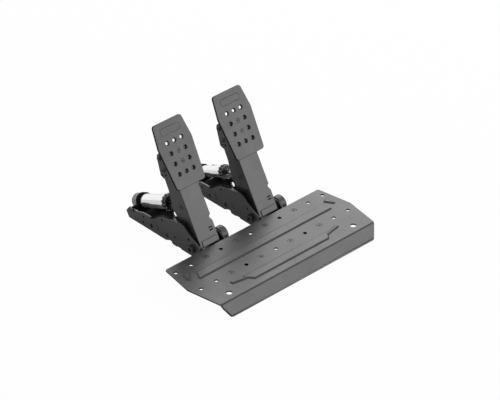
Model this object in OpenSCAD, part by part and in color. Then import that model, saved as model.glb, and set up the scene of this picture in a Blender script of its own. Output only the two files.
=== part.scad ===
// Two-pedal set for a driving simulator. A folded heel plate carries two sheet-metal pedal modules.
// Each module holds a hinged arm with a pedal face, a spring strut and a contactless angle sensor.
// X runs to the right, Y to the rear and Z up. The origin lies on the floor, in the middle of the set.
// Lengths along Y are taken from the rear hole row of the heel plate, heights from the floor.

/* [Heel plate] */
// Distance between neighbouring holes of a row
hole_pitch = 35; // [35:0.5:38]
// Distance between the two hole rows
row_gap = 64.6; // [58:0.2:72]
// Height of the plate's top above the floor
plate_top = 24; // [22:0.5:26]
// Thickness of the plate's sheet
plate_t = 3; // [3:0.25:4]
// Sheet beyond the last hole at the rear corners
plate_edge = 7.7; // [6:0.1:14]
// Extra width of the plate at its widest place, each side
plate_flare = 11.8; // [8:0.2:18]
// Rear hole row to the plate's rear edge
rear_margin = 19; // [15:0.5:22]
// Rear hole row to the widest place
wide_back = 51; // [44:1:58]
// Front hole row to the front bend
bend_margin = 58.1; // [52:0.1:70]
// Slope of the front lip below the level
lip_angle = 58; // [50:1:70]
// Outer radius of the front bend
bend_r = 5; // [4:0.5:8]
// Narrowing of the lip from the bend to the floor, each side
lip_taper = 14.7; // [8:0.1:24]
// Diameter of the plain holes in the rows
through_d = 7; // [5.5:0.1:8.5]
// Diameter of the large front corner holes
corner_d = 11; // [8:0.5:13]
// Large corner holes from the middle of the plate
corner_x = 148; // [142:1:158]
// Front hole row to the large corner holes
corner_back = 40.7; // [36:0.1:44]
// Height of the pressed ribs
rib_h = 2.2; // [1.4:0.1:2.4]
// Width of a rib's sloped side
rib_slope = 3.1; // [2:0.1:3.3]

/* [Base channel] */
// Outer width of the base channel
channel_w = 61; // [58:0.5:61.5]
// Sheet thickness of the channel, the arm and the face bracket
sheet_t = 3; // [2.5:0.25:3.5]
// Width of the screw flanges under the heel plate
flange_w = 13; // [11:0.5:15]
// Channel ahead of the front hole row
channel_front = 12; // [9:0.5:20]
// Height of the low side walls
wall_h = 29.3; // [28:0.1:31]
// Height of the tall left cheek
cheek_h = 56; // [50:0.5:60]
// Pivot axis behind the rear hole row
pivot_y = 41; // [40:0.5:45]
// Pivot axis above the floor
pivot_z = 17.6; // [17:0.1:19]
// Diameter of the pivot shaft
pivot_d = 10; // [8:0.5:11]
// Strut trunnion behind the rear hole row
trunnion_y = 197.5; // [192:0.5:204]
// Strut trunnion above the floor
trunnion_z = 22; // [21:0.1:23]
// Strut axis above the trunnion axis
strut_lift = 5.4; // [4:0.1:6.5]
// Diameter of the trunnion shoulder bolts
trunnion_d = 5; // [4.5:0.25:6]

/* [Pedal arm] */
// Lean of the arm from upright
arm_tilt = 30; // [27:0.5:33]
// Outer width of the arm
arm_w = 44; // [42:0.5:46]
// Pivot axis to the arm's front face
arm_front = 14.2; // [14:0.1:15.5]
// Arm's top above the upper bracket screw, along the arm
arm_over = 5; // [4:0.5:6]
// Arm front below the pivot axis
arm_toe = 5; // [3:0.5:7]
// Pivot axis to the strut pin, along the arm
pin_up = 74.3; // [70:0.1:78]
// Strut pin behind the pivot axis, across the arm
pin_back = 1; // [0:0.1:3]
// Diameter of the strut pin
pin_d = 8; // [6:0.25:8.5]
// Full press of the brake arm in degrees
brake_travel = 16; // [10:1:18]
// Full press of the throttle arm in degrees
throttle_travel = 20; // [14:1:21]

/* [Pedal face] */
// Length of the pedal face
face_len = 121; // [112:1:130]
// Width of the face at its top
face_top_w = 65; // [58:1:72]
// Width of the face at its widest place
face_wide_w = 77; // [72:1:84]
// Width of the face at its foot
face_foot_w = 64.5; // [58:0.5:70]
// Top edge to the widest place
face_crown = 42.4; // [36:0.2:50]
// Thickness of the face
face_t = 4; // [3:0.25:4.5]
// Radius of the face's corners
face_corner = 6; // [3:0.5:10]
// Hole columns from the middle of the face
grid_x = 16.3; // [14:0.1:19]
// Distance between the hole rows of the face
grid_z = 19.3; // [17:0.1:21]
// Diameter of the face's holes at their countersunk front
grip_d = 9.2; // [8:0.1:10]
// Top edge to the top hole row
grid_top = 37.4; // [34:0.2:42]
// Top hole row up the arm from the pivot axis
face_up = 190.2; // [186:0.2:196]
// Face front ahead of the arm's front at the top hole row
face_stand = 7.6; // [7.4:0.1:9]
// Lean of the face beyond the arm's lean
face_lean = 2.5; // [2:0.25:4]

/* [Strut] */
// Outer diameter of the brake's strut tube
brake_tube_d = 26; // [25:0.5:27]
// Outer diameter of the throttle's strut tube
throttle_tube_d = 21.5; // [21:0.5:24]
// Wall of the strut tubes
tube_wall = 2; // [1.5:0.25:2.5]
// Trunnion axis to the front end of the brake's tube
brake_tube_front = 77; // [73:0.5:79]
// Trunnion axis to the front end of the throttle's tube
throttle_tube_front = 67.5; // [65:0.5:72]
// Trunnion axis to the tube's rear end
tube_rear = 14; // [12:0.5:16]
// Rim of the trunnion collar round the tube
collar_rim = 2.25; // [1.75:0.25:4]
// Width of the trunnion collar
collar_w = 10; // [8:0.5:12]
// Rim of the rear cap round the tube
cap_rim = 1; // [0.75:0.25:2.5]
// Trunnion axis to the end of the rear cap
cap_end = 22; // [19:0.5:26]
// Radius of the rear cap's edge
cap_round = 5; // [2:0.5:6]
// Rim of the preload ring round the tube
ring_rim = 2.75; // [2.5:0.25:4]
// Width of the preload ring
ring_w = 11; // [8:0.5:13]
// Front wall of the preload ring
ring_wall = 3.5; // [2.5:0.25:4.5]
// Diameter of the piston rod
rod_d = 8; // [6:0.25:9]
// Diameter of the rod's cross eye
eye_d = 18; // [17:0.25:19]
// Wire diameter of the spring
spring_wire = 3; // [2:0.1:3.2]
// Turns of the spring
spring_turns = 12; // [8:1:13]

/* [Sensor] */
// Diameter of the sensor housing
sensor_d = 30; // [29:0.5:32]
// Depth of the sensor housing without its cover
sensor_h = 11; // [10.5:0.25:13]
// Thickness of the sensor cover
cover_t = 2.2; // [1.5:0.1:3]

/* [Fits] */
// Radial clearance of a turning or sliding fit
run_gap = 0.05; // [0.02:0.01:0.1]
// Radial clearance of a fixed fit
seat_gap = 0.05; // [0.02:0.01:0.1]
// Gap between faces that move past each other
side_gap = 0.3; // [0.3:0.05:0.6]
// Play of the cross eye round the strut pin
eye_play = 1.4; // [1.4:0.1:1.8]

/* [Hidden] */
$fn = 64;

// Colours of the finishes
satin_black = [0.17, 0.175, 0.175];
dark_plastic = [0.08, 0.08, 0.085];
zinc_steel = [0.25, 0.25, 0.26];
bright_chrome = [0.88, 0.9, 0.9];
bare_steel = [0.6, 0.6, 0.62];
black_rubber = [0.05, 0.05, 0.05];
board_green = [0.05, 0.22, 0.1];

// Overlap of cutting tools past the faces that they cut
cut = 1;

// Hole rows: holes from the middle hole to either end, and the hole numbers that carry the modules
row_reach = 5;
pedal_steps = 2;
pedal_x = pedal_steps*hole_pitch;
screw_steps = [1, 3];

// Heel plate outline
rear_half = row_reach*hole_pitch + plate_edge;
wide_half = rear_half + plate_flare;
lip_half = rear_half - lip_taper;
bend_back = row_gap + bend_margin;
lip_run = plate_top/tan(lip_angle);
plate_front = bend_back + lip_run;
rear_round = 4;
side_round = 12;
lip_round = 9;
flange_top = plate_top - plate_t;

// M5 countersunk screws of the heel plate and their nuts
m5_r = 2.5;
m5_hole_r = 2.75;
m5_head_r = 5;
m5_head_h = 2.5;
m5_sink = 0.35;
m5_nut_flats = 8;
m5_nut_h = 4;
m5_socket = 3;
socket_depth = 1.6;

// Base channel
chan_half = channel_w/2;
chan_in = chan_half - sheet_t;
chan_start = -row_gap - channel_front;
cheek_gap = 1.5;
cheek_start = rear_margin + cheek_gap;
cheek_low = plate_top + 4.3;
trunnion_r = trunnion_d/2;
ear_r = trunnion_r + 2;
ear_low = trunnion_z + 3.4;
pivot_ear_r = 13;
fold_r = 4;
relief_reach = 14;
rear_foot = trunnion_y + 8.5;
rear_tip = trunnion_y + 16.5;

// Pivot
pivot_r = pivot_d/2;
bush_wall = 2;
bush_flange_r = pivot_r + 4;
shaft_head_r = 8;
shaft_head_h = 5;
arm_half = arm_w/2;
arm_in = arm_half - sheet_t;
arm_fold_r = 1.5;
leg_in = arm_in - sheet_t;
hub_r = 12;

// Strut pin, strut length and strut slope, worked out from the pivot and the trunnion
pin_r = pin_d/2;
pin_y = pivot_y + pin_back*cos(arm_tilt) + pin_up*sin(arm_tilt);
pin_z = pivot_z - pin_back*sin(arm_tilt) + pin_up*cos(arm_tilt);
function axis_len(pin) = let (reach = norm(pin - [trunnion_y, trunnion_z]))
    sqrt(reach*reach - strut_lift*strut_lift);
strut_len = axis_len([pin_y, pin_z]);
strut_rise = atan2(pin_z - trunnion_z, trunnion_y - pin_y) - atan2(strut_lift, strut_len);

// Strut pieces along the strut axis, from the trunnion towards the pin
function tube_r(side) = (side < 0 ? brake_tube_d : throttle_tube_d)/2;
function tube_in(side) = tube_r(side) - tube_wall;
rod_r = rod_d/2;
collar_half = collar_w/2;
gland_plug = 8;
piston_w = 6;
function tube_front(side) = side < 0 ? brake_tube_front : throttle_tube_front;
function ring_front(side) = tube_front(side) + side_gap + ring_wall;
function piston_rear(side) = tube_front(side) - gland_plug - side_gap - piston_w;
eye_r = eye_d/2;
eye_neck = 16.5;
neck_start = strut_len - eye_neck;
rod_end = strut_len - pin_r - eye_play - 1.6;
bump_gap = 1.2;
bump_r = 8;
thread_r = trunnion_r - 0.5;
thread_end = chan_in - 10;
boss_r = 6;
block_drop = 12;

// Face bracket, its screws and the face's frame in the arm
face_y = -arm_front - face_stand;
bracket_in = arm_half + seat_gap;
bracket_out = bracket_in + sheet_t;
bracket_top = grid_z/2 + 1;
bracket_foot = 3*grid_z + 9;
ear_screw_back = 5.3;
ear_screw_drop = [44.8, 22.6];
ear_screw_up = [for (drop = ear_screw_drop) face_up - drop];
arm_top = ear_screw_up[1] + arm_over;

// Where the middle of the set lies behind the rear hole row
cap_back = (cap_end - cap_round)*cos(strut_rise) + cap_round;
cap_over = (strut_lift + tube_r(-1) + cap_rim - cap_round)*sin(strut_rise);
set_rear = trunnion_y + cap_back + cap_over;
set_middle = (set_rear - plate_front)/2;

// Turns a corner of an outline into an arc of radius r with n steps
function unit(v) = v/norm(v);
function arc_corner(a, b, c, r, n) = let (
    u = unit(a - b),
    w = unit(c - b),
    half = acos(u*w)/2,
    centre = b + unit(u + w)*r/sin(half),
    from = b + u*r/tan(half) - centre,
    to = b + w*r/tan(half) - centre,
    start = atan2(from.y, from.x),
    raw = atan2(to.y, to.x) - start,
    sweep = raw > 180 ? raw - 360 : raw < -180 ? raw + 360 : raw
) [for (i = [0:n]) centre + r*[cos(start + sweep*i/n), sin(start + sweep*i/n)]];

// Outline with each corner rounded to its own radius, and 0 for a sharp corner
function rounded(points, radii, n = 6) = let (k = len(points)) [
    for (i = [0:k - 1])
        each radii[i] > 0
            ? arc_corner(points[(i + k - 1) % k], points[i], points[(i + 1) % k], radii[i], n)
            : [points[i]]
];

// Outline moved inwards by w, for points that run counter-clockwise
function left_of(a, b) = let (d = unit(b - a)) [-d.y, d.x];
function inset(points, w) = let (k = len(points)) [
    for (i = [0:k - 1]) let (
        p = points[i],
        n1 = left_of(points[(i + k - 1) % k], p),
        n2 = left_of(p, points[(i + 1) % k])
    ) p + w*(n1 + n2)/(1 + n1*n2)
];
function lift(points, z) = [for (p = points) [p.x, p.y, z]];
function mirrored(points) = [for (i = [len(points) - 1:-1:0]) [-points[i].x, points[i].y]];

// Solid between outlines of equal point count at rising heights
module stacked(outlines, heights) {
    k = len(outlines[0]);
    last = len(outlines) - 1;
    sides = [for (j = [0:last - 1]) for (i = [0:k - 1])
        [j*k + i, (j + 1)*k + i, (j + 1)*k + (i + 1) % k, j*k + (i + 1) % k]];
    foot = [for (i = [0:k - 1]) i];
    crown = [for (i = [k - 1:-1:0]) last*k + i];
    polyhedron([for (j = [0:last]) each lift(outlines[j], heights[j])], concat([foot, crown], sides));
}

// Rib with sloped sides that rises from z = 0 and is sunk below it
module rib(points) {
    sink = 1;
    stacked([inset(points, -rib_slope*sink/rib_h), inset(points, rib_slope)], [-sink, rib_h]);
}

// Plate with a bevelled upper edge
module bevelled_plate(points, t, bevel) {
    stacked([points, points, inset(points, bevel)], [0, t - bevel, t]);
}

// Frames of the set, of one pedal module, of its arm, of its face, of its trunnion and of its strut axis
module in_set() { translate([0, -set_middle, 0]) children(); }
module at_pedal(side) { in_set() translate([side*pedal_x, 0, 0]) children(); }
module in_arm() { translate([0, pivot_y, pivot_z]) rotate([-arm_tilt, 0, 0]) children(); }
module in_face() { in_arm() translate([0, face_y, face_up]) rotate([-face_lean, 0, 0]) children(); }
module in_trunnion() { translate([0, trunnion_y, trunnion_z]) rotate([90 - strut_rise, 0, 0]) children(); }
module in_strut() { in_trunnion() translate([0, strut_lift, 0]) children(); }

// Sheet in the YZ plane, from x upwards
module side_sheet(points, x, t) {
    translate([x, 0, 0]) rotate([90, 0, 90]) linear_extrude(t) polygon(points);
}

// Cylinder along X
module rod_x(r, from, to) { translate([from, 0, 0]) rotate([0, 90, 0]) cylinder(r = r, h = to - from); }
module hex_x(flats, from, to) {
    translate([from, 0, 0]) rotate([0, 90, 0]) cylinder(r = flats/sqrt(3), h = to - from, $fn = 6);
}

// What rounds the outer edge of a fold along Z whose corner lies at the origin, with the sheet at +X +Y
module fold_cutter(r, len) {
    difference() {
        translate([-cut, -cut, -cut]) cube([r + cut, r + cut, len + 2*cut]);
        translate([r, r, -2*cut]) cylinder(r = r, h = len + 4*cut);
    }
}

// Places of the heel plate's holes
module each_row() { for (y = [0, -row_gap]) translate([0, y, 0]) children(); }
module each_plate_screw() {
    each_row() for (side = [-1, 1], step = screw_steps) translate([side*step*hole_pitch, 0, 0]) children();
}
module each_plain_hole() {
    each_row() for (step = [-5, -4, -2, 0, 2, 4, 5]) translate([step*hole_pitch, 0, 0]) children();
}

// Heel plate with its front lip, pressed ribs and hole rows
plate_outline = rounded([
    [rear_half, rear_margin], [-rear_half, rear_margin], [-wide_half, -wide_back],
    [-rear_half, -bend_back], [-lip_half, -plate_front], [lip_half, -plate_front],
    [rear_half, -bend_back], [wide_half, -wide_back]
], [rear_round, rear_round, side_round, side_round, lip_round, lip_round, side_round, side_round]);

// Pressed ribs: a long band between the hole rows, a wedge at each rear corner and a stepped panel in front
rib_round = rib_slope + 0.4;
band_half = 149;
band_flare = 12;
band_back = 21.5;
band_depth = 22;
band_rib = rounded([
    [band_half, -band_back], [-band_half, -band_back],
    [-band_half - band_flare, -band_back - band_depth], [band_half + band_flare, -band_back - band_depth]
], [2*rib_round, 2*rib_round, rib_round, rib_round], 4);
wedge_x = [174.3, 158.5, 176.9];
wedge_back = [11, 16.7, 45];
corner_rib = rounded([for (i = [0:2]) [wedge_x[i], -wedge_back[i]]], [rib_round, rib_round, rib_round], 4);
toe_half = 104.2;
toe_taper = 15.2;
toe_back = 21.5;
toe_depth = 21;
toe_y = -row_gap - toe_back;
toe_panel = rounded([
    [toe_half, toe_y], [-toe_half, toe_y],
    [-toe_half + toe_taper, toe_y - toe_depth], [toe_half - toe_taper, toe_y - toe_depth]
], [rib_round, rib_round, rib_round, rib_round], 4);
wing_x = [130, 94, 80, 127.5];
wing_back = [-4, 4, 14.9, 6];
toe_wing = rounded([for (i = [0:3]) [wing_x[i], toe_y - wing_back[i]]],
    [rib_round, rib_round, rib_round, rib_round], 4);

module plate_ribs() {
    rib(band_rib);
    rib(toe_panel);
    for (outline = [corner_rib, toe_wing]) {
        rib(outline);
        rib(mirrored(outline));
    }
}

// Folded sheet seen from the side, with the bend between the level part and the lip
bend_y = -bend_back + bend_r*tan(lip_angle/2);
bend_steps = 10;
lip_way = [-cos(lip_angle), -sin(lip_angle)];
function bend_arc(r) = [for (i = [0:bend_steps]) let (a = 90 + lip_angle*i/bend_steps)
    [bend_y, plate_top - bend_r] + r*[cos(a), sin(a)]];
outer_arc = bend_arc(bend_r);
inner_arc = bend_arc(bend_r - plate_t);
fold_profile = concat(
    [[rear_margin, plate_top]], outer_arc,
    [outer_arc[bend_steps] + 2*plate_top*lip_way, inner_arc[bend_steps] + 2*plate_top*lip_way],
    [for (i = [bend_steps:-1:0]) inner_arc[i]], [[rear_margin, flange_top]]
);

module heel_plate() {
    color(satin_black) in_set() difference() {
        union() {
            intersection() {
                side_sheet(fold_profile, -wide_half, 2*wide_half);
                linear_extrude(plate_top + cut) polygon(plate_outline);
            }
            translate([0, 0, plate_top]) plate_ribs();
        }
        translate([0, 0, flange_top]) plate_ribs();
        each_plain_hole() translate([0, 0, flange_top - cut]) cylinder(d = through_d, h = plate_t + 2*cut);
        for (side = [-1, 1]) translate([side*corner_x, -row_gap - corner_back, flange_top - cut])
            cylinder(d = corner_d, h = plate_t + 2*cut);
        each_plate_screw() {
            translate([0, 0, flange_top - cut]) cylinder(r = m5_hole_r, h = plate_t + 2*cut);
            translate([0, 0, plate_top - m5_head_h - m5_sink])
                cylinder(r1 = m5_r + seat_gap, r2 = m5_head_r + seat_gap + m5_sink, h = m5_head_h + m5_sink);
        }
    }
}

module heel_plate_screws() {
    tail = plate_t + sheet_t + m5_nut_h + 1;
    color(zinc_steel) in_set() each_plate_screw() translate([0, 0, plate_top - m5_sink]) difference() {
        union() {
            translate([0, 0, -tail]) cylinder(r = m5_r, h = tail);
            translate([0, 0, -m5_head_h]) cylinder(r1 = m5_r, r2 = m5_head_r, h = m5_head_h);
        }
        translate([0, 0, -socket_depth]) cylinder(r = m5_socket/sqrt(3), h = socket_depth + cut, $fn = 6);
    }
}

module heel_plate_nuts() {
    color(zinc_steel) in_set() each_plate_screw() translate([0, 0, flange_top - sheet_t - m5_nut_h])
        difference() {
            rotate([0, 0, 30]) cylinder(r = m5_nut_flats/sqrt(3), h = m5_nut_h, $fn = 6);
            translate([0, 0, -cut]) cylinder(r = m5_r + seat_gap, h = m5_nut_h + 2*cut);
        }
}

// Lower edge of the left cheek, from the rear to the front, with two relief notches
notch_a_back = 51;
notch_a_len = 18.6;
notch_a_h = 6.7;
notch_b_back = 28.6;
notch_b_len = 12.2;
notch_b_h = 3.6;
notch_a = [pivot_y + notch_a_back, pivot_y + notch_a_back + notch_a_len];
notch_b = [pivot_y + notch_b_back, pivot_y + notch_b_back + notch_b_len];
cheek_foot = [
    [rear_foot, 0], [notch_a[1], 0], [notch_a[1] - 5, notch_a_h/2], [notch_a[1] - 11, notch_a_h],
    [notch_a[0] + 2, notch_a_h], [notch_a[0], 0], [notch_b[1], 0], [notch_b[1] - 4, notch_b_h],
    [notch_b[0] + 1, notch_b_h], [notch_b[0], 0], [chan_start, 0]
];
wall_rear = [
    [trunnion_y - 14.5, ear_low], [trunnion_y + 7.5, ear_low], [trunnion_y + 9.5, ear_low - 2],
    [rear_tip, ear_low - 11]
];
wall_nose = [[chan_start, flange_top], [cheek_start, flange_top]];
cheek_outline = concat(wall_nose, [
    [cheek_start, cheek_low], [pivot_y - 1.4, cheek_h - 19.7], [pivot_y + 11, cheek_h - 11.8],
    [pivot_y + 18.5, cheek_h - 5.7], [pivot_y + 23, cheek_h - 1.5], [pivot_y + 27.8, cheek_h],
    [pivot_y + 33, cheek_h - 0.4], [pivot_y + 50.4, cheek_h - 3.6], [pivot_y + 78, wall_h + 14.2],
    [pivot_y + 104.5, wall_h - 1.3], [pivot_y + 107.8, wall_h - 3], [pivot_y + 108.8, wall_h + 1.5],
    [pivot_y + 130, wall_h + 0.4]
], wall_rear, cheek_foot);

// Low right wall with a hole for the sensor's cable: place behind the pivot, height and diameter
right_outline = concat(wall_nose, [[pivot_y - 9, wall_h], [trunnion_y - 28.5, wall_h]], wall_rear,
    [[rear_foot, 0], [chan_start, 0]]);
cable_hole = [109.5, 9.2, 9.5];

// Cross web that stiffens the channel ahead of the trunnion
cross_web_y = trunnion_y - 16.5;
cross_web_h = 17.5;

// Small holes of the cheek: place behind the pivot, height and diameter
cheek_holes = [[127.5, 21.8, 4], [127.5, 11, 4], [106, 13.3, 7], [77.8, 40, 4], [43.8, 20.3, 5], [8.6, 33, 5]];
dimple = [63.7, 14.3, 9];
dimple_depth = 1.5;
crease_at = [89.5, 19];
crease_size = [1.4, 16];
crease_lean = 38;

module base_channel(side) {
    color(satin_black) at_pedal(side) difference() {
        union() {
            side_sheet(cheek_outline, -chan_half, sheet_t);
            side_sheet(right_outline, chan_in, sheet_t);
            translate([-chan_in - cut, cross_web_y, 0]) cube([2*(chan_in + cut), sheet_t, cross_web_h]);
            translate([-chan_half, chan_start, 0]) cube([channel_w, rear_foot - chan_start, sheet_t]);
            for (edge = [-chan_half - flange_w, chan_in])
                translate([edge, chan_start, flange_top - sheet_t])
                    cube([flange_w + sheet_t, cheek_start - chan_start, sheet_t]);
            translate([0, trunnion_y, trunnion_z]) {
                rod_x(ear_r, -chan_half, -chan_in);
                rod_x(ear_r, chan_in, chan_half);
            }
            translate([0, pivot_y, pivot_z]) rod_x(pivot_ear_r, chan_in, chan_half);
        }
        translate([-chan_half, rear_tip, 0]) rotate([90, 0, 0]) fold_cutter(fold_r, rear_tip - chan_start);
        mirror([1, 0, 0]) translate([-chan_half, rear_tip, 0]) rotate([90, 0, 0])
            fold_cutter(fold_r, rear_tip - chan_start);
        for (notch = [notch_a, notch_b]) translate([-chan_half - cut, notch[0], -cut])
            cube([relief_reach + cut, notch[1] - notch[0], sheet_t + 2*cut]);
        translate([0, trunnion_y, trunnion_z]) rod_x(trunnion_r + run_gap, -chan_half - cut, chan_half + cut);
        translate([0, pivot_y, pivot_z])
            rod_x(pivot_r + bush_wall + seat_gap, -chan_half - cut, chan_half + cut);
        for (hole = cheek_holes) translate([0, pivot_y + hole[0], hole[1]])
            rod_x(hole[2]/2, -chan_half - cut, -chan_in + cut);
        translate([0, pivot_y + cable_hole[0], cable_hole[1]])
            rod_x(cable_hole[2]/2, chan_in - cut, chan_half + cut);
        translate([0, pivot_y + dimple[0], dimple[1]])
            rod_x(dimple[2]/2, -chan_half - cut, -chan_half + dimple_depth);
        translate([-chan_half - cut, pivot_y + crease_at.x, crease_at.y]) rotate([-crease_lean, 0, 0])
            translate([0, 0, -crease_size[1]/2]) cube([sheet_t + 2*cut, crease_size[0], crease_size[1]]);
        each_row() {
            translate([0, 0, -cut]) cylinder(d = through_d, h = sheet_t + 2*cut);
            for (x = [-hole_pitch, hole_pitch]) translate([x, 0, flange_top - sheet_t - cut])
                cylinder(r = m5_hole_r, h = sheet_t + 2*cut);
        }
        at_sensor() each_sensor_screw() rod_x(m3_r + seat_gap, -sheet_t - cut, cut);
    }
}

module pivot_bushes(side) {
    color(dark_plastic) at_pedal(side) translate([0, pivot_y, pivot_z]) for (end = [0, 1]) mirror([end, 0, 0])
        difference() {
            union() {
                rod_x(pivot_r + bush_wall, -chan_half, -chan_in);
                rod_x(bush_flange_r, -chan_in, -arm_in - side_gap);
            }
            rod_x(pivot_r + run_gap, -chan_half - cut, -arm_in + cut);
        }
}

// Shaft that turns with the arm, with a hexagon head on the left and the magnet seat on the right
magnet_start = chan_half + 4.5;
magnet_r = 3;
magnet_t = 2.5;

module pivot_shaft(side) {
    color(zinc_steel) at_pedal(side) in_arm() difference() {
        union() {
            rod_x(pivot_r, -chan_half - side_gap - shaft_head_h, magnet_start);
            hex_x(2*shaft_head_r*cos(30), -chan_half - side_gap - shaft_head_h, -chan_half - side_gap);
        }
        hex_x(m5_nut_flats, -chan_half - side_gap - shaft_head_h - cut, -chan_half - side_gap - shaft_head_h/2);
    }
}

module sensor_magnet(side) {
    color(bare_steel) at_pedal(side) in_arm() rod_x(magnet_r, magnet_start, magnet_start + magnet_t);
}

// Sensor on the right wall, round the pivot axis, with depths taken from the wall's outer face
sensor_r = sensor_d/2;
sensor_wall = 2;
sensor_back = 2.5;
sensor_hole_r = pivot_r + 1.5;
board_t = 1.6;
board_start = sensor_h - board_t - 0.4;
board_r = sensor_r - sensor_wall - 0.2;
board_seat_r = sensor_r - sensor_wall - 2;
m3_r = 1.5;
m3_head_r = 2.75;
m3_head_h = 3;
lug_r = 4;
lug_h = 4;
lug_out = sensor_r + 3.5;
socket_w = 9;
socket_len = 9;
socket_wall = 1.2;

module at_sensor() { translate([chan_half, pivot_y, pivot_z]) children(); }
module each_sensor_screw() {
    for (angle = [-135, -45]) translate([0, lug_out*cos(angle), lug_out*sin(angle)]) children();
}

module sensor_housing(side) {
    color(dark_plastic) at_pedal(side) at_sensor() difference() {
        union() {
            rod_x(sensor_r, 0, sensor_h);
            each_sensor_screw() rod_x(lug_r, 0, lug_h);
        }
        rod_x(sensor_hole_r, -cut, sensor_back + cut);
        rod_x(board_seat_r, sensor_back, sensor_h + cut);
        rod_x(sensor_r - sensor_wall, board_start, sensor_h + cut);
        each_sensor_screw() rod_x(m3_r + seat_gap, -cut, lug_h + cut);
    }
}

module sensor_cover(side) {
    color(dark_plastic) at_pedal(side) at_sensor() {
        rod_x(sensor_r, sensor_h, sensor_h + cover_t/2);
        translate([sensor_h + cover_t/2, 0, 0]) rotate([0, 90, 0])
            cylinder(r1 = sensor_r, r2 = sensor_r - cover_t/2, h = cover_t/2);
        rod_x(board_r, board_start + board_t + seat_gap, sensor_h);
    }
}

module sensor_board(side) {
    color(board_green) at_pedal(side) at_sensor() rod_x(board_r, board_start, board_start + board_t);
}

module sensor_screws(side) {
    color(zinc_steel) at_pedal(side) at_sensor() each_sensor_screw() difference() {
        union() {
            rod_x(m3_r, -sheet_t, lug_h);
            rod_x(m3_head_r, lug_h, lug_h + m3_head_h);
        }
        hex_x(m3_head_r, lug_h + m3_head_h - socket_depth, lug_h + m3_head_h + cut);
    }
}

// Cable inlet on the rear of the sensor housing
module cable_socket(side) {
    color(dark_plastic) at_pedal(side) at_sensor() difference() {
        translate([1, 0, -socket_w/2]) cube([socket_w, sensor_r + socket_len, socket_w]);
        rod_x(sensor_r + seat_gap, -cut, sensor_h + cut);
        translate([1 + socket_wall, sensor_r + 3, -socket_w/2 + socket_wall])
            cube([socket_w - 2*socket_wall, socket_len, socket_w - 2*socket_wall]);
    }
}

// Pedal arm: a folded channel, open to the rear
notch_mid = 37.5;
arm_notch = [[0, 7], [-4, 4], [-4, 0.5], [0, -7]];
slot_w = 2;
slot_len = 8;
slot_at = [12, 17];
pad_half = 17;
pad_h = 12;
pad_lift = 1.6;
web_back = -arm_front + sheet_t;
arm_side = [
    [-arm_front, -arm_toe], [web_back, -arm_toe], [0, 44.7], [18.8, 45.9], [19.4, 50.1],
    [24.3, pin_up + 0.5], [16.9, 107.3], [15.8, 131.3], [12, arm_top - 6], [9, arm_top], [-arm_front, arm_top]
];

// Inner leg of either side, which carries the hub inside the outer side
arm_leg = [
    [web_back - sheet_t/2, 6], [web_back, -2], [-4, -hub_r + 0.7], [hub_r - 0.2, 2], [18, 44],
    [16.4, pin_up - 16.3], [web_back - sheet_t/2, pin_up - 12.3]
];

// Pressed line across the outer side, at the foot of its wide part
fold_line = [[4.6, 63.7], [19.4, 48.8]];
fold_line_w = 1.2;
fold_line_depth = 0.8;

module pedal_arm(side) {
    color(satin_black) at_pedal(side) in_arm() difference() {
        union() {
            side_sheet(arm_side, -arm_half, sheet_t);
            side_sheet(arm_side, arm_in, sheet_t);
            for (x = [-arm_in, leg_in]) {
                side_sheet(arm_leg, x, sheet_t);
                rod_x(hub_r, x, x + sheet_t);
            }
            translate([-arm_half, -arm_front, -arm_toe]) cube([arm_w, sheet_t, arm_top + arm_toe]);
            translate([0, -arm_front, pad_h/2 - arm_toe]) rotate([90, 0, 0]) bevelled_plate([
                [-pad_half, -pad_h/2], [pad_half, -pad_h/2], [pad_half, pad_h/2], [-pad_half, pad_h/2]
            ], pad_lift, 0.75*pad_lift);
        }
        for (end = [0, 1]) mirror([end, 0, 0]) translate([-arm_half, -arm_front, -arm_toe])
            fold_cutter(arm_fold_r, arm_top + arm_toe);
        rod_x(pivot_r + seat_gap, -arm_half - cut, arm_half + cut);
        translate([0, pin_back, pin_up]) rod_x(pin_r + seat_gap, -arm_half - cut, arm_half + cut);
        for (up = ear_screw_up) translate([0, ear_screw_back, up])
            rod_x(m5_r + seat_gap, -arm_half - cut, arm_half + cut);
        translate([arm_half + cut, -arm_front + 2*fold_r, notch_mid]) rotate([90, 0, 0])
            linear_extrude(2*fold_r + cut) polygon([for (p = arm_notch) [p.x + (p.x < 0 ? -cut : 0), p.y]]);
        for (k = [0, 1]) translate([slot_at.x - slot_len/2, -arm_front - cut, slot_at.y + 2.4*k*slot_w])
            cube([slot_len, sheet_t + 2*cut, slot_w]);
        for (end = [0, 1]) mirror([end, 0, 0]) hull() for (p = fold_line) translate([0, p[0], p[1]])
            rod_x(fold_line_w/2, -arm_half - cut, -arm_half + fold_line_depth);
    }
}

module strut_pin(side) {
    head_r = pin_r + 0.8;
    head_h = 1;
    groove = 1;
    tail = arm_half + 3;
    color(zinc_steel) at_pedal(side) in_arm() translate([0, pin_back, pin_up]) difference() {
        union() {
            rod_x(pin_r, -arm_half, tail);
            rod_x(head_r, -arm_half - head_h, -arm_half);
        }
        hex_x(m5_socket, -arm_half - head_h - cut, -arm_half - head_h + socket_depth);
        difference() {
            rod_x(pin_r + cut, arm_half + seat_gap, arm_half + seat_gap + groove);
            rod_x(pin_r - groove, arm_half - cut, tail);
        }
    }
}

module pin_clip(side) {
    groove = 1;
    clip_r = pin_r + 2;
    color(zinc_steel) at_pedal(side) in_arm() translate([arm_half + 1.5*seat_gap, pin_back, pin_up])
        difference() {
            rod_x(clip_r, 0, groove - seat_gap);
            rod_x(pin_r - groove + seat_gap, -cut, groove + cut);
            translate([-cut, 0, -pin_r/2]) cube([groove + 2*cut, clip_r + cut, pin_r]);
        }
}

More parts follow.
